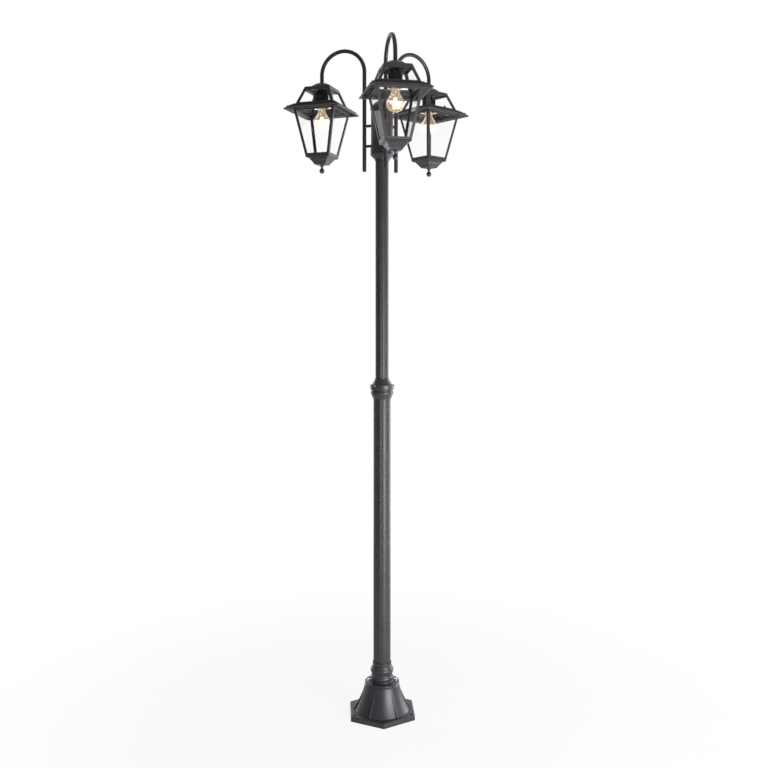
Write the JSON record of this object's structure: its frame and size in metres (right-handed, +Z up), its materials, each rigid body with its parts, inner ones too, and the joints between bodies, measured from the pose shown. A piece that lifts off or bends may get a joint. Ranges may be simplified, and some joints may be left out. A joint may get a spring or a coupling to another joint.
{
  "type": "lamp post",
  "caption": "Tall outdoor lamp post with a ribbed bell base on a hexagonal plate, fluted telescoping tubes and arched arms that each hang a tapered glass lantern with a bulb.",
  "frame": {"origin": "on the ground at the post's axis: the centre of the anchor holes on the base plate's underside", "axes": "+Z up along the post; the front arm and its lantern reach towards -Y, the right one towards +X and +Y, the left one towards -X and +Y"},
  "size_m": [0.6754, 0.585, 2.3373],
  "materials": {
    "coated_casting": "anthracite powder coat, fine texture",
    "coated_tube": "anthracite powder coat, fine texture",
    "raw_casting": "as cast",
    "bright_steel": "zinc plated",
    "dark_steel": "blackened",
    "guide_plastic": "matt",
    "fitting_brass": "machined",
    "terminal_plastic": "matt",
    "pane_glass": "clear",
    "holder_plastic": "matt",
    "shell_brass": "pressed",
    "bulb_cap_metal": "nickel plated",
    "bulb_clear": "clear",
    "filament_glow": "lit"
  },
  "bodies": {
    "base": {"base_casting": "coated_casting", "foot_spigot": "raw_casting", "foot_bolts": "bright_steel", "foot_collar": "coated_casting", "foot_set_screws": "bright_steel"},
    "lower_post": {"lower_tube": "coated_tube", "mid_collar": "coated_casting", "collar_set_screws": "bright_steel"},
    "upper_post": {"upper_tube": "coated_tube", "tube_guide_ring": "guide_plastic", "head_collar": "coated_casting", "head_housing": "coated_casting", "head_cap": "coated_casting", "terminal_block": "terminal_plastic", "arm_spacers": "coated_casting", "arm_screws": "bright_steel", "arm_front": "coated_tube", "arm_right": "coated_tube", "arm_left": "coated_tube", "arm_plugs": "coated_casting", "arm_end_fittings": "fitting_brass"},
    "lantern_front": {"roof_front": "coated_casting", "roof_panes_front": "pane_glass", "hanger_bolt_front": "bright_steel", "lamp_holder_front": "holder_plastic", "holder_shell_front": "shell_brass", "cage_front": "coated_casting", "side_panes_front": "pane_glass", "bowl_front": "coated_casting", "finial_front": "coated_casting", "eave_screws_front": "dark_steel"},
    "bulb_front": {"bulb_cap_front": "bulb_cap_metal", "bulb_glass_front": "bulb_clear", "bulb_filaments_front": "filament_glow"},
    "lantern_right": {"roof_right": "coated_casting", "roof_panes_right": "pane_glass", "hanger_bolt_right": "bright_steel", "lamp_holder_right": "holder_plastic", "holder_shell_right": "shell_brass", "cage_right": "coated_casting", "side_panes_right": "pane_glass", "bowl_right": "coated_casting", "finial_right": "coated_casting", "eave_screws_right": "dark_steel"},
    "bulb_right": {"bulb_cap_right": "bulb_cap_metal", "bulb_glass_right": "bulb_clear", "bulb_filaments_right": "filament_glow"},
    "lantern_left": {"roof_left": "coated_casting", "roof_panes_left": "pane_glass", "hanger_bolt_left": "bright_steel", "lamp_holder_left": "holder_plastic", "holder_shell_left": "shell_brass", "cage_left": "coated_casting", "side_panes_left": "pane_glass", "bowl_left": "coated_casting", "finial_left": "coated_casting", "eave_screws_left": "dark_steel"},
    "bulb_left": {"bulb_cap_left": "bulb_cap_metal", "bulb_glass_left": "bulb_clear", "bulb_filaments_left": "filament_glow"}
  },
  "joints": [
    {"name": "post_turn", "type": "hinge", "parent": "base", "child": "lower_post", "pos_m": [0, 0, 0.1153], "axis": [0, 0, 1], "range_deg": [-180, 180]},
    {"name": "height_slide", "type": "slide", "parent": "lower_post", "child": "upper_post", "axis": [0, 0, 1], "range_m": [-0.3, 0]},
    {"name": "lantern_swivel_front", "type": "hinge", "parent": "upper_post", "child": "lantern_front", "pos_m": [0, -0.2275, 2.2223], "axis": [0, 0, 1], "range_deg": [-90, 90]},
    {"name": "bulb_unscrew_front", "type": "slide", "parent": "lantern_front", "child": "bulb_front", "axis": [0, 0, -1], "range_m": [0, 0.024]},
    {"name": "lantern_swivel_right", "type": "hinge", "parent": "upper_post", "child": "lantern_right", "pos_m": [0.19702, 0.11375, 2.2223], "axis": [0, 0, 1], "range_deg": [-90, 90]},
    {"name": "bulb_unscrew_right", "type": "slide", "parent": "lantern_right", "child": "bulb_right", "axis": [0, 0, -1], "range_m": [0, 0.024]},
    {"name": "lantern_swivel_left", "type": "hinge", "parent": "upper_post", "child": "lantern_left", "pos_m": [-0.19702, 0.11375, 2.2223], "axis": [0, 0, 1], "range_deg": [-90, 90]},
    {"name": "bulb_unscrew_left", "type": "slide", "parent": "lantern_left", "child": "bulb_left", "axis": [0, 0, -1], "range_m": [0, 0.024]}
  ]
}
